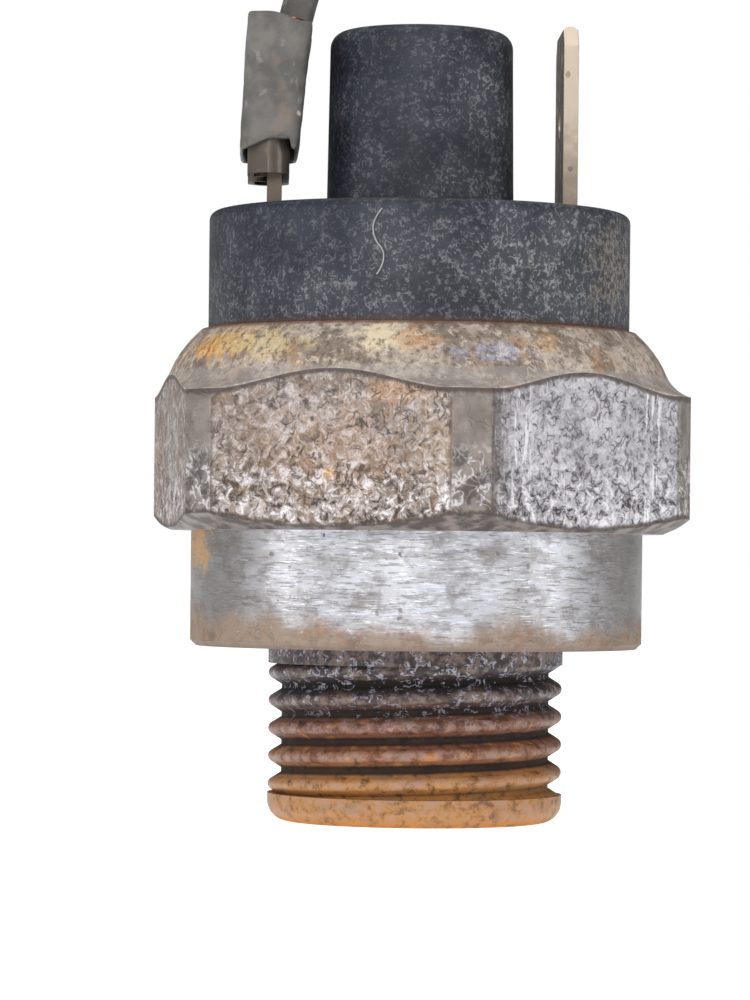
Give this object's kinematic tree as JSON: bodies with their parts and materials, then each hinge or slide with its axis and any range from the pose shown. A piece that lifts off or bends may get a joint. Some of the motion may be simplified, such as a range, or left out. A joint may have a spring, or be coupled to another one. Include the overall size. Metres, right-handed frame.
{
  "type": "pressure switch",
  "caption": "Screw-in fluid pressure switch with hex body, port thread, dark plastic cap with central tower, two push-on tabs and a short lead on one of them.",
  "frame": {"origin": "on the body axis, in the plane of the sealing face under the collar", "axes": "+Z along the body axis from the port thread to the tabs, X across the two tabs, hex corner nearest -Y stands 8.6 degrees towards +X"},
  "size_m": [0.0424, 0.064, 0.0599],
  "materials": {
    "body_steel": "zinc-plated and passivated steel, worn, stained and lightly rusted",
    "cap_plastic": "dark glass-filled moulded plastic, dusty",
    "plug_plastic": "dark moulded plastic",
    "tinned_brass": "tin-plated brass strip, dulled",
    "receptacle_tin": "tin-plated brass sheet, dark with age",
    "insert_brass": "machined brass",
    "bronze": "phosphor bronze strip",
    "silver": "silver alloy contact",
    "inner_steel": "turned steel",
    "spring_steel": "spring wire",
    "seal_rubber": "moulded seal rubber",
    "diaphragm_film": "coated diaphragm cloth",
    "pin_plastic": "insulating plastic",
    "base_plastic": "phenolic board",
    "sleeve_vinyl": "soft vinyl sleeve, grey-brown and scuffed",
    "lead_vinyl": "vinyl insulation, grey-brown and scuffed",
    "copper": "bare copper strands"
  },
  "bodies": {
    "body": {"hex_body": "body_steel", "diaphragm_seal": "seal_rubber", "diaphragm": "diaphragm_film", "support_ring": "inner_steel", "contact_base": "base_plastic", "fixed_contact_right": "silver", "fixed_contact_left": "silver", "terminal_right": "tinned_brass", "terminal_left": "tinned_brass", "cap": "cap_plastic", "cap_seal": "seal_rubber", "range_spring": "spring_steel", "threaded_insert": "insert_brass", "tower_plug": "plug_plastic", "receptacle": "receptacle_tin", "receptacle_sleeve": "sleeve_vinyl", "lead_strands": "copper", "lead": "lead_vinyl", "bullet_plug": "insert_brass", "bullet_strands": "copper", "bullet_sleeve": "sleeve_vinyl"},
    "plunger": {"piston": "inner_steel", "push_pin": "pin_plastic", "contact_bridge": "bronze", "bridge_contact_right": "silver", "bridge_contact_left": "silver", "lower_spring_seat": "pin_plastic"},
    "seat_carriage": {"upper_spring_seat": "inner_steel"},
    "screw": {"adjusting_screw": "inner_steel"}
  },
  "joints": [
    {"name": "plunger_lift", "type": "slide", "parent": "body", "child": "plunger", "axis": [0, 0, 1], "range_m": [0, 0.00075], "stiffness_N_per_m": 300, "springref_m": -0.002, "deforming": ["diaphragm", "range_spring"]},
    {"name": "seat_travel", "type": "slide", "parent": "body", "child": "seat_carriage", "axis": [0, 0, 1], "range_m": [-0.0015, 0.00038], "deforming": ["range_spring"]},
    {"name": "screw_turn", "type": "hinge", "parent": "seat_carriage", "child": "screw", "pos_m": [0, 0, 0.029], "axis": [0, 0, 1], "range_deg": [-720, 180]}
  ],
  "couplings": [
    {"joint": "screw_turn", "follows": "seat_travel", "rad_per_m": 8377.6}
  ]
}
